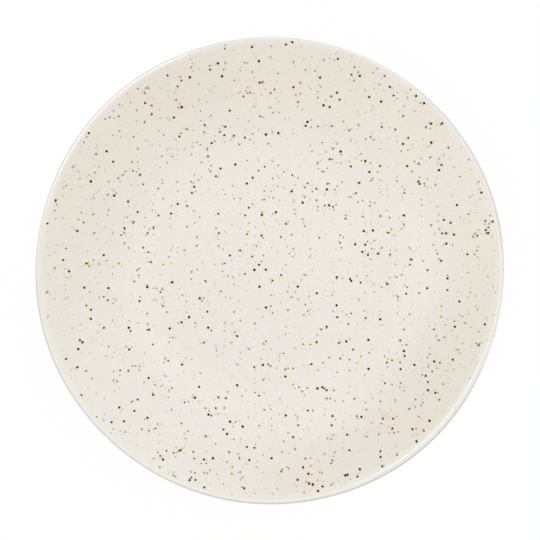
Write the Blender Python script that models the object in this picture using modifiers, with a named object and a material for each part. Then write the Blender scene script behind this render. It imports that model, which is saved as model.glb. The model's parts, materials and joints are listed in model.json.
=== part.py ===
"""Side plate: a coupe plate of glazed stoneware with a rolled lip and a bare foot ring.

Units are metres and +Z is up. The origin is the middle of the circle that the plate stands on.
The section is one smooth outline: from the middle of the face over the lip, down the wall to the
foot, and back along the base to the axis. Every sub-part is turned from a stretch of that outline.
"""

import math

import bpy

# Face
PLATE_RADIUS = 0.100
WELL_RADIUS = 0.048
COVE_RADIUS = 0.075
RIM_SLOPE = math.radians(24)
BASE_THICKNESS = 0.005

# Lip: eased on the inside, rounded on the outside
LIP_EASE_RADIUS = 0.006
LIP_RADIUS = 0.0017

# Foot ring: its bare lower part stands on the table, its neck is glazed
FOOT_RADIUS = 0.058
FOOT_WIDTH = 0.005
FOOT_HEIGHT = 0.0035
FOOT_FILLET = 0.001
FOOT_CORNER = 0.0008
BARE_HEIGHT = 0.0012

# Glaze coat, its clearance to the clay, and the clearance between neighbouring coats
GLAZE_THICKNESS = 0.0005
BOND_GAP = 0.0003
SEAM_GAP = 0.0003

# Fineness of the turned surfaces
TURN_STEPS = 64
COVE_STEPS = 6
EASE_STEPS = 3
LIP_STEPS = 4
FOOT_STEPS = 3
SHARP_ANGLE = math.radians(40)
MERGE_DISTANCE = 0.00001

# Heights and radii that follow from the driving dimensions
CLAY_DEPTH = GLAZE_THICKNESS + BOND_GAP
FOOT_INNER_RADIUS = FOOT_RADIUS - FOOT_WIDTH
WELL_HEIGHT = FOOT_HEIGHT + BASE_THICKNESS
CREST_RADIUS = PLATE_RADIUS - LIP_RADIUS
SLOPE_SINE = math.sin(RIM_SLOPE)
SLOPE_COSINE = math.cos(RIM_SLOPE)
SLOPE_TANGENT = math.tan(RIM_SLOPE)
SLOPE_RUN = CREST_RADIUS - WELL_RADIUS - (COVE_RADIUS + LIP_EASE_RADIUS) * SLOPE_SINE
SLOPE_RISE = SLOPE_RUN * SLOPE_TANGENT
CURVE_RISE = (COVE_RADIUS + LIP_EASE_RADIUS) * (1 - SLOPE_COSINE)
CREST_HEIGHT = WELL_HEIGHT + SLOPE_RISE + CURVE_RISE

# The wall's underside runs parallel to the rim slope and curves to level under the edge of the well
UNDER_LIP_RADIUS = CREST_RADIUS + LIP_RADIUS * SLOPE_SINE
UNDER_LIP_HEIGHT = CREST_HEIGHT - LIP_RADIUS * (1 + SLOPE_COSINE)
UNDER_MEET_RADIUS = UNDER_LIP_RADIUS - (UNDER_LIP_HEIGHT - FOOT_HEIGHT) / SLOPE_TANGENT
UNDER_COVE_RADIUS = (UNDER_MEET_RADIUS - WELL_RADIUS) / math.tan(RIM_SLOPE / 2)
UNDER_COVE_HEIGHT = FOOT_HEIGHT + UNDER_COVE_RADIUS

# Directions of the outline's outward normal, in the plane of the section
UP = math.pi / 2
OUT = 0.0
DOWN = -math.pi / 2
IN = -math.pi
UP_SLOPE = UP + RIM_SLOPE
DOWN_SLOPE = DOWN + RIM_SLOPE

# Colours and roughness of the fired surfaces
CREAM_GLAZE = (0.81, 0.76, 0.68)
LIP_GLAZE = (0.84, 0.80, 0.73)
BUFF_CLAY = (0.62, 0.50, 0.38)
SANDED_CLAY = (0.66, 0.55, 0.43)
GLAZE_ROUGHNESS = 0.18
CLAY_ROUGHNESS = 0.85


def station(radius, height, normal):
    """One point of the outline with its outward normal."""
    return radius, height, math.cos(normal), math.sin(normal)


def arc(centre, radius, first_normal, last_normal, steps):
    """Stations along an arc. A negative radius makes it hollow, with its centre outside the plate."""
    stations = []
    for step in range(steps + 1):
        normal = first_normal + (last_normal - first_normal) * step / steps
        r = centre[0] + radius * math.cos(normal)
        z = centre[1] + radius * math.sin(normal)
        stations.append(station(r, z, normal))
    return stations


def face_outline():
    """Level well, cove, rim slope and the eased inside of the lip, up to its crest."""
    middle = [station(0.0, WELL_HEIGHT, UP)]
    cove_centre = (WELL_RADIUS, WELL_HEIGHT + COVE_RADIUS)
    cove = arc(cove_centre, -COVE_RADIUS, UP, UP_SLOPE, COVE_STEPS)
    ease_centre = (CREST_RADIUS, CREST_HEIGHT - LIP_EASE_RADIUS)
    ease = arc(ease_centre, LIP_EASE_RADIUS, UP_SLOPE, UP, EASE_STEPS)
    return middle + cove + ease


def lip_outline(trim=0.0):
    """The round outside of the lip, from its crest to the wall. The trim shortens both ends."""
    centre = (CREST_RADIUS, CREST_HEIGHT - LIP_RADIUS)
    inset = trim / LIP_RADIUS
    upper = arc(centre, LIP_RADIUS, UP - inset, OUT, LIP_STEPS)
    lower = arc(centre, LIP_RADIUS, OUT, DOWN_SLOPE + inset, LIP_STEPS)
    return upper + lower[1:]


def under_cove_outline(last_normal):
    """Underside of the wall: from the lip down its slope, and along the cove to the given normal."""
    under_lip = [station(UNDER_LIP_RADIUS, UNDER_LIP_HEIGHT, DOWN_SLOPE)]
    cove_centre = (WELL_RADIUS, UNDER_COVE_HEIGHT)
    return under_lip + arc(cove_centre, UNDER_COVE_RADIUS, DOWN_SLOPE, last_normal, COVE_STEPS)


def underside_height(radius, depth):
    """Height of the cove's underside at a radius, or of the level base within the well's radius."""
    reach = max(0.0, radius - WELL_RADIUS)
    return UNDER_COVE_HEIGHT - math.sqrt((UNDER_COVE_RADIUS - depth) ** 2 - reach**2)


def at_depth(outline, depth=0.0):
    """Points of the outline, moved into the plate along the normals."""
    return [(r - depth * nr, z - depth * nz) for r, z, nr, nz in outline]


def clay_section():
    """The clay body: a dish that lies under every coat and over the foot ring."""
    base_middle = [station(0.0, FOOT_HEIGHT, DOWN)]
    outline = face_outline() + lip_outline()[1:] + under_cove_outline(DOWN)[1:] + base_middle
    return at_depth(outline, CLAY_DEPTH)


def foot_section():
    """The foot ring: bare and full width where it stands, narrower above to leave room for the coats."""
    outer_neck = FOOT_RADIUS - CLAY_DEPTH
    inner_neck = FOOT_INNER_RADIUS + CLAY_DEPTH
    outer_centre = (FOOT_RADIUS - FOOT_CORNER, FOOT_CORNER)
    inner_centre = (FOOT_INNER_RADIUS + FOOT_CORNER, FOOT_CORNER)
    outer_corner = arc(outer_centre, FOOT_CORNER, OUT, DOWN, FOOT_STEPS)
    inner_corner = arc(inner_centre, FOOT_CORNER, DOWN, IN, FOOT_STEPS)
    seat_depth = CLAY_DEPTH - BOND_GAP
    outer_side = [(outer_neck, underside_height(outer_neck, seat_depth)), (outer_neck, BARE_HEIGHT)]
    inner_side = [(inner_neck, BARE_HEIGHT), (inner_neck, underside_height(inner_neck, seat_depth))]
    bare = [(FOOT_RADIUS, BARE_HEIGHT)] + at_depth(outer_corner + inner_corner)
    bare.append((FOOT_INNER_RADIUS, BARE_HEIGHT))
    return outer_side + bare + inner_side


def coat_section(outline):
    """A glaze coat of even thickness: the finished surface, and back along its inside."""
    return at_depth(outline) + at_depth(outline, GLAZE_THICKNESS)[::-1]


def wall_coat_section():
    """The wall's coat, with a fillet at the foot, then down the foot's outer flank to the bare clay."""
    fillet_radius = FOOT_RADIUS + FOOT_FILLET
    fillet_centre = (fillet_radius, underside_height(fillet_radius, -FOOT_FILLET))
    reach = max(0.0, fillet_radius - WELL_RADIUS)
    foot_normal = DOWN + math.asin(reach / (UNDER_COVE_RADIUS + FOOT_FILLET))
    wall = under_cove_outline(foot_normal)
    fillet = arc(fillet_centre, -FOOT_FILLET, foot_normal, OUT, FOOT_STEPS)
    flank_end = [station(FOOT_RADIUS, BARE_HEIGHT + SEAM_GAP, OUT)]
    inner_flank = FOOT_RADIUS - GLAZE_THICKNESS
    corner = [(inner_flank, underside_height(inner_flank, GLAZE_THICKNESS))]
    inside = at_depth(wall, GLAZE_THICKNESS) + corner + at_depth(flank_end, GLAZE_THICKNESS)
    return at_depth(wall + fillet[1:] + flank_end) + inside[::-1]


def base_coat_section():
    """The coat inside the foot: from the axis out, down the foot's inner flank and back."""
    fillet_centre = (FOOT_INNER_RADIUS - FOOT_FILLET, FOOT_HEIGHT - FOOT_FILLET)
    fillet = arc(fillet_centre, -FOOT_FILLET, IN, DOWN, FOOT_STEPS)
    flank_end = [station(FOOT_INNER_RADIUS, BARE_HEIGHT + SEAM_GAP, IN)]
    middle = [station(0.0, FOOT_HEIGHT, DOWN)]
    corner = [(FOOT_INNER_RADIUS + GLAZE_THICKNESS, FOOT_HEIGHT + GLAZE_THICKNESS)]
    inside = at_depth(middle, GLAZE_THICKNESS) + corner + at_depth(flank_end, GLAZE_THICKNESS)
    return inside + at_depth(flank_end + fillet + middle)


def surface_material(name, colour, roughness):
    """Plain non-metallic material."""
    material = bpy.data.materials.new(name)
    material.use_nodes = True
    shader = material.node_tree.nodes["Principled BSDF"]
    shader.inputs["Base Color"].default_value = (*colour, 1.0)
    shader.inputs["Roughness"].default_value = roughness
    shader.inputs["Metallic"].default_value = 0.0
    return material


def profile_mesh(name, section):
    """The section as edges at +X. It closes on itself unless it starts and ends on the axis."""
    points = [(r, 0.0, z) for r, z in section]
    edges = [(index, index + 1) for index in range(len(points) - 1)]
    starts_on_axis = section[0][0] < MERGE_DISTANCE
    if not starts_on_axis:
        edges.append((len(points) - 1, 0))
    mesh = bpy.data.meshes.new(name)
    mesh.from_pydata(points, edges, [])
    return mesh


def add_turned(name, section, material, collection, parent):
    """Turn a section once round the plate's axis and keep the result as one named solid."""
    part = bpy.data.objects.new(name, profile_mesh(name, section))
    collection.objects.link(part)
    screw = part.modifiers.new("turn", "SCREW")
    screw.axis = "Z"
    screw.angle = math.tau
    screw.steps = TURN_STEPS
    screw.render_steps = TURN_STEPS
    screw.use_merge_vertices = True
    screw.merge_threshold = MERGE_DISTANCE
    graph = bpy.context.evaluated_depsgraph_get()
    solid = bpy.data.meshes.new_from_object(part.evaluated_get(graph))
    part.modifiers.clear()
    part.data = solid
    solid.name = name
    solid.shade_smooth()
    solid.set_sharp_from_angle(angle=SHARP_ANGLE)
    solid.materials.append(material)
    part.parent = parent
    return part


def clear_scene():
    """Start from an empty scene."""
    for existing in list(bpy.data.objects):
        bpy.data.objects.remove(existing, do_unlink=True)


def build_plate():
    """Make the plate's sub-parts under one empty at the origin."""
    collection = bpy.data.collections.new("side_plate")
    bpy.context.scene.collection.children.link(collection)
    plate = bpy.data.objects.new("plate_origin", None)
    collection.objects.link(plate)
    cream = surface_material("speckled_cream_glaze", CREAM_GLAZE, GLAZE_ROUGHNESS)
    lip = surface_material("lip_glaze", LIP_GLAZE, GLAZE_ROUGHNESS)
    plain = surface_material("plain_cream_glaze", CREAM_GLAZE, GLAZE_ROUGHNESS)
    clay = surface_material("stoneware", BUFF_CLAY, CLAY_ROUGHNESS)
    bare = surface_material("sanded_stoneware", SANDED_CLAY, CLAY_ROUGHNESS)
    sections = (
        ("clay_body", clay_section(), clay),
        ("foot_ring", foot_section(), bare),
        ("face_glaze", coat_section(face_outline()), cream),
        ("rim_glaze", coat_section(lip_outline(trim=SEAM_GAP)), lip),
        ("underside_glaze", wall_coat_section(), plain),
        ("base_glaze", base_coat_section(), plain),
    )
    for name, section, material in sections:
        add_turned(name, section, material, collection, plate)


clear_scene()
build_plate()
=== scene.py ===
"""Looks of the side plate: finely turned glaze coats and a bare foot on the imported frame."""

import json
import math

import bmesh
import bpy
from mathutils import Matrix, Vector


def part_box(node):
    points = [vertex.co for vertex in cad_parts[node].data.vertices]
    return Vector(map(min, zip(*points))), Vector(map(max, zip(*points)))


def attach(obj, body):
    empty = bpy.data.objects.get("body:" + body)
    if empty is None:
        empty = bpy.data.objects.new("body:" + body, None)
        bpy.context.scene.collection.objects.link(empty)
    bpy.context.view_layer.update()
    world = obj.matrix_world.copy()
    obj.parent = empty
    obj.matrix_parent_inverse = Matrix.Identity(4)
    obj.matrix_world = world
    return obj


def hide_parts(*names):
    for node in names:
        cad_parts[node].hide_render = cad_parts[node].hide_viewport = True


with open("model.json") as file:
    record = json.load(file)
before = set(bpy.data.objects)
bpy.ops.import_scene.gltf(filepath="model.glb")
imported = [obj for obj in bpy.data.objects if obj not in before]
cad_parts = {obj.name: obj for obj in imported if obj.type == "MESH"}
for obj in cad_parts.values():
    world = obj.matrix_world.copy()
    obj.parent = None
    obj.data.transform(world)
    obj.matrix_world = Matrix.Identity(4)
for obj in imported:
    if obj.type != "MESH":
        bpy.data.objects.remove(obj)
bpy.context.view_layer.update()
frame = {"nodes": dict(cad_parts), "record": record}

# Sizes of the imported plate, in metres
FACE_LOW, FACE_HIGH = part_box("face_glaze")
BASE_LOW, BASE_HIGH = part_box("base_glaze")
MOUNTS = {mount["name"]: mount for mount in frame["record"]["mounts"]}
PLATE_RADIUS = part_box("rim_glaze")[1].x
CREST_RADIUS = FACE_HIGH.x
CREST_HEIGHT = FACE_HIGH.z
WELL_HEIGHT = MOUNTS["well_face"]["pos_m"][2]
FOOT_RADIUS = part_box("foot_ring")[1].x
GLAZE_THICKNESS = WELL_HEIGHT - FACE_LOW.z
FOOT_HEIGHT = BASE_HIGH.z - GLAZE_THICKNESS
FOOT_INNER_RADIUS = BASE_HIGH.x - GLAZE_THICKNESS
SEAM_GAP = 0.0003
BARE_HEIGHT = BASE_LOW.z - SEAM_GAP
WELL_RADIUS = 0.048
COVE_RADIUS = 0.075
RIM_SLOPE = math.radians(24)
LIP_RADIUS = PLATE_RADIUS - CREST_RADIUS
LIP_HEIGHT = CREST_HEIGHT - LIP_RADIUS
LIP_EASE_RADIUS = 0.006
FOOT_FILLET = 0.001
FOOT_CORNER = 0.0008
GLAZE_BEAD = 0.00025

# The wall's underside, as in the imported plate
UNDER_LIP_RADIUS = CREST_RADIUS + LIP_RADIUS * math.sin(RIM_SLOPE)
UNDER_LIP_HEIGHT = LIP_HEIGHT - LIP_RADIUS * math.cos(RIM_SLOPE)
UNDER_MEET_RADIUS = UNDER_LIP_RADIUS - (UNDER_LIP_HEIGHT - FOOT_HEIGHT) / math.tan(RIM_SLOPE)
UNDER_COVE_RADIUS = (UNDER_MEET_RADIUS - WELL_RADIUS) / math.tan(RIM_SLOPE / 2)
UNDER_COVE_HEIGHT = FOOT_HEIGHT + UNDER_COVE_RADIUS

# Fineness of the turned surfaces
TURN_STEPS = 288
WELL_STEPS = 12
COVE_STEPS = 28
SLOPE_STEPS = 10
EASE_STEPS = 14
LIP_STEPS = 20
FOOT_STEPS = 6
HIDDEN_SKIP = 4
SHARP_ANGLE = math.radians(40)

# The map to bake on: a disc with the seen side at one scale and the hidden side drawn short
MAP_NAME = "OFBake"
MAP_RADIUS = 0.495
HIDDEN_SCALE = 0.04

# The rim is a little out of round: waves round the edge as (count, height in metres, angle of a crest)
RIM_WAVES = (
    (2, 0.000158, math.radians(-15)),
    (3, 0.000131, math.radians(55)),
    (4, 0.000144, math.radians(33)),
    (6, 0.000129, math.radians(15)),
)

# The lip's crest lies a little to one side, so the roll outside it is wider on the other
CREST_SHIFT = 0.00073
CREST_SHIFT_ANGLE = math.radians(113)
CREST_SHIFT_START = 0.088
CREST_MIDDLE = (CREST_SHIFT * math.cos(CREST_SHIFT_ANGLE), CREST_SHIFT * math.sin(CREST_SHIFT_ANGLE), 0.0)

# Directions of the outward normal, in the plane of the section
UP = math.pi / 2
OUT = 0.0
DOWN = -math.pi / 2
IN = -math.pi
DOWN_SLOPE = DOWN + RIM_SLOPE


def station(radius, height, normal):
    """One point of an outline with its outward normal."""
    return radius, height, math.cos(normal), math.sin(normal)


def arc(centre, radius, first_normal, last_normal, steps):
    """Stations along an arc. A negative radius makes it hollow."""
    stations = []
    for step in range(steps + 1):
        normal = first_normal + (last_normal - first_normal) * step / steps
        r = centre[0] + radius * math.cos(normal)
        z = centre[1] + radius * math.sin(normal)
        stations.append(station(r, z, normal))
    return stations


def straight(first, last, steps):
    """Stations between two stations of the same normal, without those two."""
    between = []
    for step in range(1, steps):
        share = step / steps
        between.append(tuple(a + (b - a) * share for a, b in zip(first, last)))
    return between


def at_depth(outline, depth=0.0):
    """Points of an outline, moved into the plate along the normals."""
    return [(r - depth * nr, z - depth * nz) for r, z, nr, nz in outline]


def inside_of(outline):
    """The coat's inner side, back from the end, with fewer points because nobody sees it."""
    inner = at_depth(outline, GLAZE_THICKNESS)[::-1]
    return inner[:-1:HIDDEN_SKIP] + inner[-1:]


def slope_between(cove_centre, ease_centre):
    """Angle of the straight that leaves the hollow cove and runs into the lip's rounded inside."""
    run = ease_centre[0] - cove_centre[0]
    rise = ease_centre[1] - cove_centre[1]
    lean = math.asin((COVE_RADIUS + LIP_EASE_RADIUS) / math.hypot(run, rise))
    return math.atan2(rise, run) + lean


def underside_height(radius, depth):
    """Height of the cove's underside at a radius, or of the level base within the well's radius."""
    reach = max(0.0, radius - WELL_RADIUS)
    return UNDER_COVE_HEIGHT - math.sqrt((UNDER_COVE_RADIUS - depth) ** 2 - reach**2)


# A section is the seen side of a piece, from the axis or its inner end outwards, and the hidden side back


def face_section():
    """The upper coat: level well, cove, rim slope and the rounded inside of the lip."""
    middle = station(0.0, WELL_HEIGHT, UP)
    cove_centre = (WELL_RADIUS, WELL_HEIGHT + COVE_RADIUS)
    ease_centre = (CREST_RADIUS, CREST_HEIGHT - LIP_EASE_RADIUS)
    slope_normal = UP + slope_between(cove_centre, ease_centre)
    cove = arc(cove_centre, -COVE_RADIUS, UP, slope_normal, COVE_STEPS)
    ease = arc(ease_centre, LIP_EASE_RADIUS, slope_normal, UP, EASE_STEPS)
    well = [middle] + straight(middle, cove[0], WELL_STEPS)
    slope = straight(cove[-1], ease[0], SLOPE_STEPS)
    outline = well + cove + slope + ease
    return at_depth(outline), inside_of(outline)


def lip_section():
    """The coat rolled over the lip, from its crest to the wall."""
    centre = (CREST_RADIUS, LIP_HEIGHT)
    outline = arc(centre, LIP_RADIUS, UP, OUT, LIP_STEPS)
    outline += arc(centre, LIP_RADIUS, OUT, DOWN_SLOPE, LIP_STEPS)[1:]
    return at_depth(outline), inside_of(outline)


def wall_section():
    """The coat under the wall: a bead on the foot, its flank, a fillet, cove and slope up to the lip."""
    fillet_radius = FOOT_RADIUS + FOOT_FILLET
    fillet_centre = (fillet_radius, underside_height(fillet_radius, -FOOT_FILLET))
    foot_normal = DOWN + math.asin((fillet_radius - WELL_RADIUS) / (UNDER_COVE_RADIUS + FOOT_FILLET))
    bead_centre = (FOOT_RADIUS - GLAZE_BEAD, BARE_HEIGHT + GLAZE_BEAD)
    bead = arc(bead_centre, GLAZE_BEAD, DOWN, OUT, FOOT_STEPS)
    fillet = arc(fillet_centre, -FOOT_FILLET, OUT, foot_normal, FOOT_STEPS)
    cove = arc((WELL_RADIUS, UNDER_COVE_HEIGHT), UNDER_COVE_RADIUS, foot_normal, DOWN_SLOPE, COVE_STEPS)
    lip_end = station(UNDER_LIP_RADIUS, UNDER_LIP_HEIGHT, DOWN_SLOPE)
    slope = straight(cove[-1], lip_end, SLOPE_STEPS) + [lip_end]
    inner_flank = FOOT_RADIUS - GLAZE_THICKNESS
    inner_foot = [(inner_flank, underside_height(inner_flank, GLAZE_THICKNESS)), (inner_flank, BARE_HEIGHT)]
    return at_depth(bead + fillet[:-1] + cove + slope), inside_of(cove + slope) + inner_foot


def base_section():
    """The coat inside the foot: the level base, a fillet, the inner flank and a rounded bead."""
    middle = station(0.0, FOOT_HEIGHT, DOWN)
    fillet_centre = (FOOT_INNER_RADIUS - FOOT_FILLET, FOOT_HEIGHT - FOOT_FILLET)
    fillet = arc(fillet_centre, -FOOT_FILLET, DOWN, IN, FOOT_STEPS)
    bead_centre = (FOOT_INNER_RADIUS + GLAZE_BEAD, BARE_HEIGHT + GLAZE_BEAD)
    bead = arc(bead_centre, GLAZE_BEAD, IN, DOWN, FOOT_STEPS)
    level = [middle] + straight(middle, fillet[0], WELL_STEPS)
    inner_flank = FOOT_INNER_RADIUS + GLAZE_THICKNESS
    inner_height = FOOT_HEIGHT + GLAZE_THICKNESS
    hidden = [(inner_flank, BARE_HEIGHT), (inner_flank, inner_height), (0.0, inner_height)]
    return at_depth(level + fillet + bead), hidden


def foot_section():
    """The bare foot under the coats: two rounded corners, and a neck between the coats."""
    inner_neck = FOOT_INNER_RADIUS + GLAZE_THICKNESS
    outer_neck = FOOT_RADIUS - GLAZE_THICKNESS
    inner_bead = (FOOT_INNER_RADIUS + GLAZE_BEAD, BARE_HEIGHT - GLAZE_BEAD)
    outer_bead = (FOOT_RADIUS - GLAZE_BEAD, BARE_HEIGHT - GLAZE_BEAD)
    inner_shoulder = arc(inner_bead, GLAZE_BEAD, UP - math.tau, IN, FOOT_STEPS)
    inner_corner = arc((FOOT_INNER_RADIUS + FOOT_CORNER, FOOT_CORNER), FOOT_CORNER, IN, DOWN, FOOT_STEPS)
    outer_corner = arc((FOOT_RADIUS - FOOT_CORNER, FOOT_CORNER), FOOT_CORNER, DOWN, OUT, FOOT_STEPS)
    outer_shoulder = arc(outer_bead, GLAZE_BEAD, OUT, UP, FOOT_STEPS)
    outer_top = (outer_neck, underside_height(outer_neck, GLAZE_THICKNESS))
    inner_top = (inner_neck, underside_height(inner_neck, GLAZE_THICKNESS))
    neck = [(outer_neck, BARE_HEIGHT), outer_top, inner_top, (inner_neck, BARE_HEIGHT)]
    return at_depth(inner_shoulder + inner_corner + outer_corner + outer_shoulder), neck


def out_of_round(radius, angle):
    """How far a point stands out or in at an angle: the edge's waves, and the crest set to one side."""
    reach = max(0.0, (radius - FOOT_RADIUS) / (PLATE_RADIUS - FOOT_RADIUS))
    waves = sum(height * math.cos(count * (angle - crest)) for count, height, crest in RIM_WAVES)
    inside = max(0.0, (radius - CREST_SHIFT_START) / (CREST_RADIUS - CREST_SHIFT_START))
    outside = max(0.0, (PLATE_RADIUS - radius) / LIP_RADIUS)
    shift = CREST_SHIFT * math.cos(angle - CREST_SHIFT_ANGLE) * min(inside**2, outside)
    return waves * reach**2 + shift


def turn_angle(step):
    """Angle round the axis after some steps."""
    return math.tau * step / TURN_STEPS


def turned_ring(maker, radius, height):
    """The vertices that one point of a section leaves on its way round. On the axis all are the same one."""
    if radius == 0.0:
        return [maker.verts.new((0.0, 0.0, height))] * TURN_STEPS
    ring = []
    for step in range(TURN_STEPS):
        angle = turn_angle(step)
        wide = radius + out_of_round(radius, angle)
        ring.append(maker.verts.new((wide * math.cos(angle), wide * math.sin(angle), height)))
    return ring


def map_reaches(seen, hidden):
    """How far out each point of a closed section lies on the map, as a share of the furthest."""
    reaches = [seen[0][0]]
    for here, there in zip(seen, seen[1:]):
        reaches.append(reaches[-1] + math.dist(here, there))
    back = seen[-1:] + hidden + seen[:1]
    for here, there in zip(back, back[1:]):
        reaches.append(reaches[-1] + math.dist(here, there) * HIDDEN_SCALE)
    return [reach / reaches[-1] for reach in reaches]


def map_place(reach, step):
    """Place on the map's disc."""
    angle = turn_angle(step)
    return 0.5 + MAP_RADIUS * reach * math.cos(angle), 0.5 + MAP_RADIUS * reach * math.sin(angle)


def turned_mesh(name, seen, hidden):
    """Turns a section round the axis into a closed mesh with a map to bake on."""
    maker = bmesh.new()
    bake_map = maker.loops.layers.uv.new(MAP_NAME)
    reaches = map_reaches(seen, hidden)
    rings = [turned_ring(maker, r, z) for r, z in seen + hidden]
    if seen[0][0] > 0.0:
        rings.append(rings[0])
    for k in range(len(rings) - 1):
        for step in range(TURN_STEPS):
            corners = {}
            for row, turn in ((k, step), (k, step + 1), (k + 1, step + 1), (k + 1, step)):
                corners[rings[row][turn % TURN_STEPS]] = map_place(reaches[row], turn)
            face = maker.faces.new(tuple(corners))
            for loop, place in zip(face.loops, corners.values()):
                loop[bake_map].uv = place
    bmesh.ops.recalc_face_normals(maker, faces=maker.faces)
    mesh = bpy.data.meshes.new(name)
    maker.to_mesh(mesh)
    maker.free()
    mesh.shade_smooth()
    mesh.set_sharp_from_angle(angle=SHARP_ANGLE)
    return mesh


def turned_piece(name, section, node, material):
    """A turned solid that stands for a node of the frame."""
    mesh = turned_mesh(name, *section)
    mesh.materials.append(material)
    piece = bpy.data.objects.new(name, mesh)
    bpy.context.scene.collection.objects.link(piece)
    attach(piece, "root")
    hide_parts(node)


def add_node(tree, kind, inputs=None, **settings):
    """One shader node. An input is a number, a colour or another node's output."""
    made = tree.nodes.new(kind)
    for name, value in settings.items():
        setattr(made, name, value)
    for name, value in (inputs or {}).items():
        if isinstance(value, bpy.types.NodeSocket):
            tree.links.new(value, made.inputs[name])
        else:
            made.inputs[name].default_value = value
    return made


def math_node(tree, operation, first, second=0.0):
    """Result of a sum on one or two numbers."""
    return add_node(tree, "ShaderNodeMath", {0: first, 1: second}, operation=operation).outputs[0]


def vector_node(tree, operation, first, second):
    """Result of a sum on two vectors, as a vector or a number."""
    made = add_node(tree, "ShaderNodeVectorMath", {0: first, 1: second}, operation=operation)
    return made.outputs["Value" if operation in ("DOT_PRODUCT", "DISTANCE") else "Vector"]


def scaled(tree, vector, scale):
    """A vector or colour times a number."""
    return add_node(tree, "ShaderNodeVectorMath", {0: vector, "Scale": scale}, operation="SCALE").outputs[0]


def mixed(tree, share, first, second):
    """A colour between two colours."""
    made = add_node(tree, "ShaderNodeMix", {"Factor": share}, data_type="RGBA")
    for socket, value in ((made.inputs[6], first), (made.inputs[7], second)):
        if isinstance(value, bpy.types.NodeSocket):
            tree.links.new(value, socket)
        else:
            socket.default_value = (*value, 1.0)
    return made.outputs[2]


def ranged(tree, value, first, last, low, high, smooth=False):
    """A number taken from one range into another, and held at its ends."""
    kind = "SMOOTHSTEP" if smooth else "LINEAR"
    inputs = {"Value": value, "From Min": first, "From Max": last, "To Min": low, "To Max": high}
    return add_node(tree, "ShaderNodeMapRange", inputs, interpolation_type=kind).outputs["Result"]


def noise(tree, place, size, detail=2.0):
    """Soft noise with features of about that size in metres."""
    inputs = {"Vector": place, "Scale": 1.0 / size, "Detail": detail}
    return add_node(tree, "ShaderNodeTexNoise", inputs).outputs["Fac"]


NOISE_RANGE = (0.3, 0.7)


def varied(tree, place, size, low, high, detail=2.0):
    """A number that wanders between two values from place to place."""
    return ranged(tree, noise(tree, place, size, detail), *NOISE_RANGE, low, high)


def from_axis(tree, place, axis=(0.0, 0.0, 0.0)):
    """Level distance from an upright axis, in metres."""
    return vector_node(tree, "DISTANCE", vector_node(tree, "MULTIPLY", place, (1.0, 1.0, 0.0)), axis)


def ramp(tree, value, stops, kind="LINEAR"):
    """A colour picked by a number between 0 and 1, from stops of (number, colour)."""
    made = add_node(tree, "ShaderNodeValToRGB", {"Fac": value})
    made.color_ramp.interpolation = kind
    elements = made.color_ramp.elements
    elements.remove(elements[1])
    elements[0].position = stops[0][0]
    elements[0].color = (*stops[0][1], 1.0)
    for position, colour in stops[1:]:
        elements.new(position).color = (*colour, 1.0)
    return made.outputs["Color"]


def add_bump(tree, shader, height, look):
    """Bump on a shader from a height, with a strength and a distance."""
    bump = add_node(tree, "ShaderNodeBump", {"Height": height, **look})
    tree.links.new(bump.outputs["Normal"], shader.inputs["Normal"])


def compass(degrees):
    """Level direction at an angle from +X."""
    angle = math.radians(degrees)
    return math.cos(angle), math.sin(angle), 0.0


def new_material(name):
    """An empty node material with its shader, and the place on the plate in metres."""
    material = bpy.data.materials.new(name)
    material.use_nodes = True
    tree = material.node_tree
    shader = tree.nodes["Principled BSDF"]
    place = add_node(tree, "ShaderNodeTexCoord").outputs["Object"]
    return material, tree, shader, place


WHITE = (1.0, 1.0, 1.0)

# Cream glaze, warmer and darker out on the slope and most of all on one side, which is painted shade, and a
# little darker round a point in the well
CREAM = (0.806, 0.769, 0.700)
CREAM_PAINTED_SHADE = (0.740, 0.688, 0.608)
OUTER_PAINT_START = 0.0555
OUTER_PAINT_FULL = 0.0875
OUTER_PAINT_SHARE = 0.7
PAINTED_SIDE = compass(315)
PAINTED_SIDE_SHARE = 0.3
PATCH_SIZE = 0.03
PATCH_SHARE = 0.2
GRAIN_SIZE = 0.0016
GRAIN_SHARE = 0.012
DARK_SPOT_MIDDLE = (-0.0135, -0.0135, 0.0)
DARK_SPOT_FULL = 0.018
DARK_SPOT_END = 0.046
DARK_SPOT_SHADE = 0.984
GLAZE_ROUGHNESS = (0.12, 0.16)
GLAZE_ROUGHNESS_SIZE = 0.012
GLAZE_SPECULAR = 0.25
GLAZE_WAVE_SIZE = 0.006
GLAZE_BUMP = {"Strength": 0.25, "Distance": 0.00003}


def cream_ground(tree, place, pale, painted_outer):
    """Cream in the well turning outwards, most of all on one side, into a second colour, in soft patches. The
    second colour is painted shade on the face and underside and painted light on the lip.
    """
    # Shares of the painted outer colour: out on the slope, and more on one side
    painted_outer_share = ranged(tree, from_axis(tree, place), OUTER_PAINT_START, OUTER_PAINT_FULL, 0.0, OUTER_PAINT_SHARE, True)
    towards = vector_node(tree, "DOT_PRODUCT", place, PAINTED_SIDE)
    painted_side_share = ranged(tree, towards, WELL_RADIUS, OUTER_PAINT_FULL, 0.0, PAINTED_SIDE_SHARE, True)
    patches = varied(tree, place, PATCH_SIZE, -PATCH_SHARE / 2, PATCH_SHARE / 2, 3.0)
    share = math_node(tree, "ADD", math_node(tree, "ADD", painted_outer_share, painted_side_share), patches)
    grain = varied(tree, place, GRAIN_SIZE, 1.0 - GRAIN_SHARE, 1.0 + GRAIN_SHARE)
    return scaled(tree, mixed(tree, share, pale, painted_outer), grain)


def darkened_in_well(tree, place, ground):
    """A colour made a little darker round a point in the well."""
    shade = ranged(tree, from_axis(tree, place, DARK_SPOT_MIDDLE), DARK_SPOT_FULL, DARK_SPOT_END, DARK_SPOT_SHADE, 1.0, True)
    return scaled(tree, ground, shade)


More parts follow.
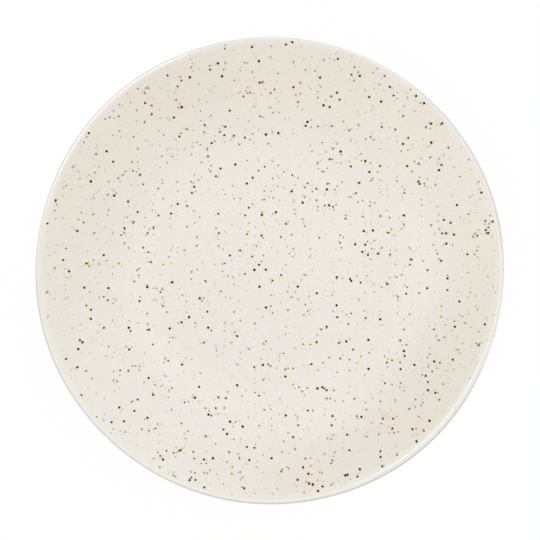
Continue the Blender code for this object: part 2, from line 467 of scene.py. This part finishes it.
def finish_glaze(tree, shader, place, colour, dull=0.0):
    """Gloss, duller by a number where specks lie, and the soft unevenness of the fired surface."""
    tree.links.new(colour, shader.inputs["Base Color"])
    shine = varied(tree, place, GLAZE_ROUGHNESS_SIZE, *GLAZE_ROUGHNESS)
    tree.links.new(math_node(tree, "ADD", shine, dull), shader.inputs["Roughness"])
    shader.inputs["Specular IOR Level"].default_value = GLAZE_SPECULAR
    add_bump(tree, shader, noise(tree, place, GLAZE_WAVE_SIZE, 1.0), GLAZE_BUMP)


# Iron specks at three depths in the glaze. Each kind is scattered more than once, in cells of its own, and
# crowds here and there, so that some lie close together. Sizes are diameters in metres, and the darker specks
# are larger. Fade, ring and stain run from one distance inside a speck's edge to another
CROWD_SIZE = 0.005
CROWD_SHARE = 1.6
SPECK_FREE_CREST = 0.0009
SPECK_REACH = CREST_RADIUS - SPECK_FREE_CREST
SPECK_GROWS_FROM = 0.3
SPECK_RAGGED = 0.1
SPECK_RAGGED_SIZE = 0.0006
SPECK_FADE = (-0.00003, 0.00001)
SPECK_RING = (0.00006, 0.0001)
SPECK_STAIN = (-0.0006, 0.0)
STAIN_COLOUR = (1.0, 0.98, 0.84)
SPECK_DULL = 0.05
SPECK_TINTS = (
    (0.00, (1.00, 1.00, 1.00)),
    (0.36, (1.00, 1.04, 0.65)),
    (0.58, (1.12, 0.98, 0.50)),
    (0.72, (0.97, 0.98, 1.25)),
)
STRONG_SPECKS = {
    "cell": 0.0042,
    "shifts": (
        (0.30, 0.10, 0.0),
        (0.62, 0.47, 0.0),
        (0.11, 0.74, 0.0),
        (0.87, 0.33, 0.0),
        (0.44, 0.91, 0.0),
        (0.05, 0.58, 0.0),
    ),
    "share": 0.071,
    "least": 0.00077,
    "most": 0.00126,
    "tint": 1.0,
    "stain": 0.8,
    "edge": (0.65, 0.49, 0.16),
    "colours": (
        (0.00, (0.180, 0.153, 0.092)),
        (0.46, (0.140, 0.108, 0.054)),
        (0.66, (0.050, 0.024, 0.005)),
        (0.75, (0.017, 0.004, 0.0)),
        (0.84, (0.010, 0.001, 0.0)),
    ),
}
MIDDLE_SPECKS = {
    "cell": 0.0034,
    "shifts": ((0.7, 0.4, 0.0), (0.15, 0.83, 0.0)),
    "share": 0.215,
    "least": 0.00070,
    "most": 0.00078,
    "tint": 0.55,
    "stain": 0.4,
    "edge": (0.72, 0.67, 0.52),
    "colours": (
        (0.00, (0.600, 0.568, 0.490)),
        (0.35, (0.520, 0.486, 0.395)),
        (0.62, (0.390, 0.358, 0.262)),
        (1.00, (0.180, 0.152, 0.085)),
    ),
}
FAINT_SPECKS = {
    "cell": 0.003,
    "shifts": ((0.2, 0.9, 0.0), (0.55, 0.26, 0.0)),
    "share": 0.29,
    "least": 0.00066,
    "most": 0.00074,
    "tint": 0.10,
    "stain": 0.12,
    "edge": (0.750, 0.715, 0.635),
    "colours": (
        (0.00, (0.750, 0.715, 0.635)),
        (0.60, (0.690, 0.655, 0.565)),
        (1.00, (0.600, 0.565, 0.465)),
    ),
}


def speck_layer(tree, place, ground, layer, scatter="2D"):
    """Lays one kind of specks over a colour and returns the new colour and the specks' mask.

    A flat scatter shows every speck on the face. A 3D one shows only those that the surface cuts.
    Specks are scaled by the colour under them as a share of cream, so they carry its painted light and shade
    too.
    """
    masks = 0.0
    depth = vector_node(tree, "DIVIDE", ground, CREAM)
    ragged = varied(tree, place, SPECK_RAGGED_SIZE, 1.0 - SPECK_RAGGED, 1.0 + SPECK_RAGGED, 1.0)
    for shift in layer["shifts"]:
        shifted = vector_node(tree, "ADD", place, shift)
        inputs = {"Vector": shifted, "Scale": 1.0 / layer["cell"]}
        cells = add_node(tree, "ShaderNodeTexVoronoi", inputs, voronoi_dimensions=scatter)
        chance = add_node(tree, "ShaderNodeSeparateColor", {"Color": cells.outputs["Color"]}).outputs
        spot = vector_node(tree, "SUBTRACT", cells.outputs["Position"], shift)
        crowd = varied(tree, spot, CROWD_SIZE, 1.0 - CROWD_SHARE, 1.0 + CROWD_SHARE, 1.0)
        share = math_node(tree, "MULTIPLY", crowd, layer["share"])
        kept = math_node(tree, "LESS_THAN", chance["Red"], share)
        if scatter == "2D":
            within = math_node(tree, "LESS_THAN", from_axis(tree, spot, CREST_MIDDLE), SPECK_REACH)
            kept = math_node(tree, "MULTIPLY", kept, within)
        radius = ranged(tree, chance["Green"], SPECK_GROWS_FROM, 1.0, layer["least"] / 2, layer["most"] / 2)
        away = math_node(tree, "MULTIPLY", cells.outputs["Distance"], layer["cell"])
        inside = math_node(tree, "SUBTRACT", radius, math_node(tree, "MULTIPLY", away, ragged))
        near = ranged(tree, inside, *SPECK_STAIN, 0.0, layer["stain"], True)
        stain = math_node(tree, "MULTIPLY", near, kept)
        mask = math_node(tree, "MULTIPLY", ranged(tree, inside, *SPECK_FADE, 0.0, 1.0, True), kept)
        core = ranged(tree, inside, *SPECK_RING, 0.0, 1.0, True)
        iron = ramp(tree, chance["Green"], layer["colours"])
        tint = mixed(tree, layer["tint"], WHITE, ramp(tree, chance["Blue"], SPECK_TINTS, "CONSTANT"))
        speck = mixed(tree, core, layer["edge"], vector_node(tree, "MULTIPLY", iron, tint))
        speck = vector_node(tree, "MULTIPLY", speck, depth)
        stained = vector_node(tree, "MULTIPLY", ground, mixed(tree, stain, WHITE, STAIN_COLOUR))
        ground = mixed(tree, mask, stained, speck)
        masks = math_node(tree, "MAXIMUM", mask, masks)
    return ground, masks


# The lip: a painted highlight band inside the crest, and painted highlight lines with a grey line between
# them along it on the two sides where x times y is well under nought, as (metres outside the crest, half the
# width, colour)
# Painted light: the lip's cream is drawn paler than the face's, palest toward compass 315
LIP_PAINTED_LIGHT = (0.830, 0.798, 0.735)
CREST_HIGHLIGHT_BAND = (-0.0008, 0.0011, (0.860, 0.830, 0.775))
CREST_HIGHLIGHT_BAND_SHARE = 0.28
CREST_HIGHLIGHT_LINES = (
    (-0.00012, 0.00031, (0.940, 0.925, 0.895)),
    (0.00052, 0.00027, (0.730, 0.720, 0.708)),
    (0.00100, 0.00026, (0.875, 0.857, 0.820)),
)
LINE_SIDE_FROM = 0.22 * CREST_RADIUS**2
LINE_SIDE_FULL = 0.45 * CREST_RADIUS**2

# Painted shade along the lip's outer edge: a warm dark band, and on the side the light comes from a greyer
# one. Each coat as (metres inside the edge where it starts, where it is full, share away from that side,
# share on it, colour)
LIT_EDGE_SIDE = compass(115)
LIT_EDGE_FROM = 0.2 * PLATE_RADIUS
LIT_EDGE_FULL = 0.8 * PLATE_RADIUS
EDGE_SHADE_COATS = (
    (0.0014, 0.0005, 1.0, 0.0, (0.650, 0.600, 0.520)),
    (0.0009, 0.0004, 0.0, 1.0, (0.700, 0.690, 0.680)),
)

# At one place a painted reflection along the edge takes away most of the edge's painted shade
REFLECTION_SIDE = compass(-12)
REFLECTION_FROM = 0.92 * PLATE_RADIUS
REFLECTION_FULL = 0.985 * PLATE_RADIUS
REFLECTION_LEAVES = 0.25


def rim_waves(tree, place):
    """How far the edge stands out or in beside a place, as out_of_round turns it."""
    part = add_node(tree, "ShaderNodeSeparateXYZ", {0: place}).outputs
    angle = math_node(tree, "ARCTAN2", part["Y"], part["X"])
    waves = 0.0
    for count, height, crest in RIM_WAVES:
        turned = math_node(tree, "MULTIPLY", math_node(tree, "SUBTRACT", angle, crest), count)
        wave = math_node(tree, "MULTIPLY", math_node(tree, "COSINE", turned), height)
        waves = math_node(tree, "ADD", wave, waves)
    return waves


def line_mask(tree, outside, middle, half):
    """A soft line along the crest, from 1 in its middle to 0 beside it."""
    away = math_node(tree, "ABSOLUTE", math_node(tree, "SUBTRACT", outside, middle))
    return ranged(tree, away, 0.5 * half, 1.5 * half, 1.0, 0.0, True)


def painted_crest_highlights(tree, place, ground):
    """A painted highlight band inside the lip's crest, and thin painted highlight lines with a grey line
    between them along it on two sides.
    """
    crest = math_node(tree, "ADD", rim_waves(tree, place), CREST_RADIUS)
    outside = math_node(tree, "SUBTRACT", from_axis(tree, place, CREST_MIDDLE), crest)
    part = add_node(tree, "ShaderNodeSeparateXYZ", {0: place}).outputs
    product = math_node(tree, "MULTIPLY", part["X"], part["Y"])
    side = ranged(tree, product, -LINE_SIDE_FROM, -LINE_SIDE_FULL, 0.0, 1.0, True)
    upper = ranged(tree, part["Z"], LIP_HEIGHT, LIP_HEIGHT + LIP_RADIUS / 2, 0.0, 1.0)
    middle, half, colour = CREST_HIGHLIGHT_BAND
    # Painted highlight band just inside the crest
    highlight_band = math_node(tree, "MULTIPLY", line_mask(tree, outside, middle, half), upper)
    ground = mixed(tree, math_node(tree, "MULTIPLY", highlight_band, CREST_HIGHLIGHT_BAND_SHARE), ground, colour)
    shown = math_node(tree, "MULTIPLY", side, upper)
    # Painted highlight lines along the crest on two sides, with a grey line between them
    for middle, half, colour in CREST_HIGHLIGHT_LINES:
        line = math_node(tree, "MULTIPLY", line_mask(tree, outside, middle, half), shown)
        ground = mixed(tree, line, ground, colour)
    return ground


def shaded_edge(tree, place, ground):
    """Painted shade along the lip's outer edge, greyer on the side the light comes from, mostly left off at a
    painted reflection and fading out on the way to the wall.
    """
    edge = math_node(tree, "ADD", rim_waves(tree, place), PLATE_RADIUS)
    inside = math_node(tree, "SUBTRACT", edge, from_axis(tree, place))
    height = add_node(tree, "ShaderNodeSeparateXYZ", {0: place}).outputs["Z"]
    upper = ranged(tree, height, UNDER_LIP_HEIGHT, LIP_HEIGHT, 0.0, 1.0)
    # Most of the painted shade is left off where a painted reflection lies
    along_reflection = vector_node(tree, "DOT_PRODUCT", place, REFLECTION_SIDE)
    left_by_reflection = ranged(tree, along_reflection, REFLECTION_FROM, REFLECTION_FULL, 1.0, REFLECTION_LEAVES, True)
    edge_shade_mask = math_node(tree, "MULTIPLY", upper, left_by_reflection)
    # The painted shade is only greyer on the side the light comes from
    towards = vector_node(tree, "DOT_PRODUCT", place, LIT_EDGE_SIDE)
    for start, full, far_share, lit_side_share, colour in EDGE_SHADE_COATS:
        over = math_node(tree, "MULTIPLY", ranged(tree, inside, start, full, 0.0, 1.0, True), edge_shade_mask)
        share = ranged(tree, towards, LIT_EDGE_FROM, LIT_EDGE_FULL, far_share, lit_side_share, True)
        ground = mixed(tree, math_node(tree, "MULTIPLY", over, share), ground, colour)
    return ground


def speckled_glaze():
    """Glossy cream glaze with iron specks of three kinds."""
    material, tree, shader, place = new_material("speckled_glaze")
    colour = darkened_in_well(tree, place, cream_ground(tree, place, CREAM, CREAM_PAINTED_SHADE))
    colour = painted_crest_highlights(tree, place, colour)
    colour, _ = speck_layer(tree, place, colour, FAINT_SPECKS)
    colour, _ = speck_layer(tree, place, colour, MIDDLE_SPECKS)
    colour, strong = speck_layer(tree, place, colour, STRONG_SPECKS)
    finish_glaze(tree, shader, place, colour, math_node(tree, "MULTIPLY", strong, SPECK_DULL))
    return material


def lip_glaze():
    """Glossy cream glaze drawn paler as painted light, with painted highlight lines along the crest, painted
    shade over the edge and nearly without specks.
    """
    material, tree, shader, place = new_material("lip_glaze")
    colour = painted_crest_highlights(tree, place, cream_ground(tree, place, CREAM, LIP_PAINTED_LIGHT))
    colour, _ = speck_layer(tree, place, shaded_edge(tree, place, colour), MIDDLE_SPECKS, "3D")
    finish_glaze(tree, shader, place, colour)
    return material


def plain_glaze():
    """Glossy cream glaze, nearly without specks."""
    material, tree, shader, place = new_material("plain_glaze")
    colour = cream_ground(tree, place, CREAM, CREAM_PAINTED_SHADE)
    colour, _ = speck_layer(tree, place, colour, FAINT_SPECKS, "3D")
    colour, _ = speck_layer(tree, place, colour, MIDDLE_SPECKS, "3D")
    finish_glaze(tree, shader, place, colour)
    return material


# Unglazed stoneware: sizes of its sand, patches and grog, how they show, and its colours, light and dark.
# A grog's edge is in cells from its middle
SAND_SIZE = 0.0006
CLAY_PATCH_SIZE = 0.015
CLAY_PATCH_SHARE = 0.5
CLAY_DARKEST = 0.66
CLAY_ROUGHNESS = (0.8, 0.95)
CLAY_BUMP = {"Strength": 0.5, "Distance": 0.0001}
GROG_CELL = 0.0018
GROG_SHARE = 0.2
GROG_EDGE = (0.10, 0.16)
GROG_COLOUR = (0.16, 0.11, 0.07)
FOOT_CLAY = ((0.66, 0.55, 0.43), (0.55, 0.44, 0.33))
BODY_CLAY = ((0.64, 0.52, 0.40), (0.52, 0.41, 0.31))


def bare_clay(name, light, dark):
    """Unglazed stoneware: sandy grain with small dark grog, dry and rough."""
    material, tree, shader, place = new_material(name)
    sand = varied(tree, place, SAND_SIZE, 0.0, 1.0, 4.0)
    patches = varied(tree, place, CLAY_PATCH_SIZE, 0.0, CLAY_PATCH_SHARE)
    share = math_node(tree, "MULTIPLY", math_node(tree, "ADD", sand, patches), CLAY_DARKEST)
    grog = add_node(tree, "ShaderNodeTexVoronoi", {"Vector": place, "Scale": 1.0 / GROG_CELL})
    chance = add_node(tree, "ShaderNodeSeparateColor", {"Color": grog.outputs["Color"]}).outputs["Red"]
    near = ranged(tree, grog.outputs["Distance"], *GROG_EDGE, 1.0, 0.0)
    dots = math_node(tree, "MULTIPLY", near, math_node(tree, "LESS_THAN", chance, GROG_SHARE))
    colour = mixed(tree, dots, mixed(tree, share, light, dark), GROG_COLOUR)
    tree.links.new(colour, shader.inputs["Base Color"])
    tree.links.new(ranged(tree, sand, 0.0, 1.0, *CLAY_ROUGHNESS), shader.inputs["Roughness"])
    add_bump(tree, shader, sand, CLAY_BUMP)
    return material


def add_plate():
    """The five turned pieces, and the clay body in its place under them."""
    under_look = plain_glaze()
    foot_look = bare_clay("bare_clay", *FOOT_CLAY)
    turned_piece("speckled_face", face_section(), "face_glaze", speckled_glaze())
    turned_piece("rolled_lip", lip_section(), "rim_glaze", lip_glaze())
    turned_piece("glazed_wall", wall_section(), "underside_glaze", under_look)
    turned_piece("glazed_base", base_section(), "base_glaze", under_look)
    turned_piece("bare_foot", foot_section(), "foot_ring", foot_look)
    clay = frame["nodes"]["clay_body"].data.materials
    clay.clear()
    clay.append(bare_clay("stoneware", *BODY_CLAY))


# Studio: a dim ceiling, a bright ring of sky round it, and soft lights as
# (compass angle from +X, angle from overhead, sharpness, colour). The horizon and the ceiling's edge are
# blends between two heights of a direction, from 0 at the level to 1 overhead
HORIZON = (-0.15, 0.15)
CEILING = (0.55, 0.9)
OVERHEAD = (0.20, 0.20, 0.20)
RING = (0.60, 0.60, 0.60)
FROM_BELOW = (0.50, 0.49, 0.47)
SOFT_LIGHTS = (
    (0, 60, 10.0, (0.90, 0.95, 0.77)),
    (45, 60, 10.0, (1.72, 2.00, 2.33)),
    (90, 60, 10.0, (0.94, 0.72, 0.71)),
    (180, 60, 10.0, (0.87, 0.97, 0.90)),
    (225, 60, 10.0, (1.65, 1.81, 1.95)),
    (270, 60, 10.0, (0.88, 0.58, 0.47)),
    (120, 84, 10.0, (0.36, 0.36, 0.36)),
)

# What only the gloss mirrors: white walls up to a small dark ceiling, and softboxes, listed like the
# soft lights, that lay a sheen in the cove
MIRRORED_CEILING = (0.756, 0.988)
SHEEN_LIGHTS = (
    (184, 24, 34.0, (1.96, 1.96, 1.96)),
    (112, 27, 50.0, (1.83, 1.83, 1.83)),
    (32, 12, 60.0, (1.53, 1.53, 1.53)),
)


def soft_light(tree, direction, angle, tilt, sharpness, colour):
    """Light that fades away round one direction."""
    level = math.sin(math.radians(tilt))
    x, y, _ = compass(angle)
    aim = (x * level, y * level, math.cos(math.radians(tilt)))
    facing = vector_node(tree, "DOT_PRODUCT", direction, aim)
    falling = math_node(tree, "MULTIPLY", math_node(tree, "SUBTRACT", facing, 1.0), sharpness)
    return scaled(tree, colour, math_node(tree, "EXPONENT", falling))


def add_studio():
    """A white room to the camera, whose walls the gloss mirrors too, and soft lights to the plate."""
    world = bpy.data.worlds.new("studio")
    bpy.context.scene.world = world
    world.use_nodes = True
    tree = world.node_tree
    tree.nodes.clear()
    direction = add_node(tree, "ShaderNodeTexCoord").outputs["Generated"]
    height = add_node(tree, "ShaderNodeSeparateXYZ", {0: direction}).outputs["Z"]
    above = ranged(tree, height, *HORIZON, 0.0, 1.0, True)
    ceiling = ranged(tree, height, *CEILING, 0.0, 1.0, True)
    path = add_node(tree, "ShaderNodeLightPath").outputs
    mirrored = ranged(tree, height, *MIRRORED_CEILING, 0.0, 1.0, True)
    walls = math_node(tree, "SUBTRACT", path["Is Glossy Ray"], mirrored)
    light = mixed(tree, above, FROM_BELOW, mixed(tree, ceiling, RING, OVERHEAD))
    light = mixed(tree, walls, light, WHITE)
    for soft in SOFT_LIGHTS:
        light = vector_node(tree, "ADD", light, soft_light(tree, direction, *soft))
    for sheen in SHEEN_LIGHTS:
        lobe = scaled(tree, soft_light(tree, direction, *sheen), path["Is Glossy Ray"])
        light = vector_node(tree, "ADD", light, lobe)
    seen = math_node(tree, "MAXIMUM", path["Is Camera Ray"], path["Is Transmission Ray"])
    shown = mixed(tree, seen, light, WHITE)
    background = add_node(tree, "ShaderNodeBackground", {"Color": shown, "Strength": 1.0})
    add_node(tree, "ShaderNodeOutputWorld", {"Surface": background.outputs[0]})


FLOOR_HALF = 4.0
FLOOR_DROP = 0.0002
FLOOR_COLOUR = (0.97, 0.97, 0.97)
FLOOR_WHITE_FAR = 0.975
FLOOR_WHITE_NEAR = 0.45


def add_floor():
    """A pale floor that looks white from above and keeps the plate's shadow, open when seen from below."""
    half = FLOOR_HALF
    corners = [(-half, -half), (half, -half), (half, half), (-half, half)]
    mesh = bpy.data.meshes.new("floor")
    mesh.from_pydata([(x, y, -FLOOR_DROP) for x, y in corners], [], [(0, 1, 2, 3)])
    floor = bpy.data.objects.new("floor", mesh)
    bpy.context.scene.collection.objects.link(floor)
    floor.visible_diffuse = False
    floor.visible_shadow = False
    material, tree, shader, place = new_material("pale_floor")
    tree.nodes.remove(shader)
    mesh.materials.append(material)
    path = add_node(tree, "ShaderNodeLightPath").outputs
    seen = math_node(tree, "MAXIMUM", path["Is Camera Ray"], path["Is Glossy Ray"])
    seen = math_node(tree, "MAXIMUM", seen, path["Is Transmission Ray"])
    away = from_axis(tree, place)
    white = ranged(tree, away, FOOT_RADIUS, PLATE_RADIUS, FLOOR_WHITE_NEAR, FLOOR_WHITE_FAR, True)
    share = math_node(tree, "MULTIPLY", seen, white)
    matt = add_node(tree, "ShaderNodeBsdfDiffuse", {"Color": (*FLOOR_COLOUR, 1.0)}).outputs[0]
    glow = add_node(tree, "ShaderNodeEmission", {"Color": (*WHITE, 1.0), "Strength": 1.0}).outputs[0]
    top = add_node(tree, "ShaderNodeMixShader", {0: share, 1: matt, 2: glow}).outputs[0]
    clear = add_node(tree, "ShaderNodeBsdfTransparent").outputs[0]
    back = add_node(tree, "ShaderNodeNewGeometry").outputs["Backfacing"]
    surface = add_node(tree, "ShaderNodeMixShader", {0: back, 1: top, 2: clear}).outputs[0]
    tree.links.new(surface, tree.nodes["Material Output"].inputs["Surface"])


LENS = 100.0
SENSOR = 36.0
IMAGE_SIDE = 540
RADIUS_IN_IMAGE = 234.15
CAMERA_SHIFT = (0.0, 0.0003)


def add_camera():
    """Straight above the plate, as far away as the photograph's frame asks."""
    data = bpy.data.cameras.new("camera")
    data.lens = LENS
    data.sensor_width = SENSOR
    camera = bpy.data.objects.new("camera", data)
    bpy.context.scene.collection.objects.link(camera)
    distance = PLATE_RADIUS * (LENS / SENSOR) * IMAGE_SIDE / RADIUS_IN_IMAGE
    camera.location = (*CAMERA_SHIFT, LIP_HEIGHT + distance)
    bpy.context.scene.camera = camera


add_plate()
add_studio()
add_floor()
add_camera()
bpy.context.scene.view_settings.view_transform = "Standard"
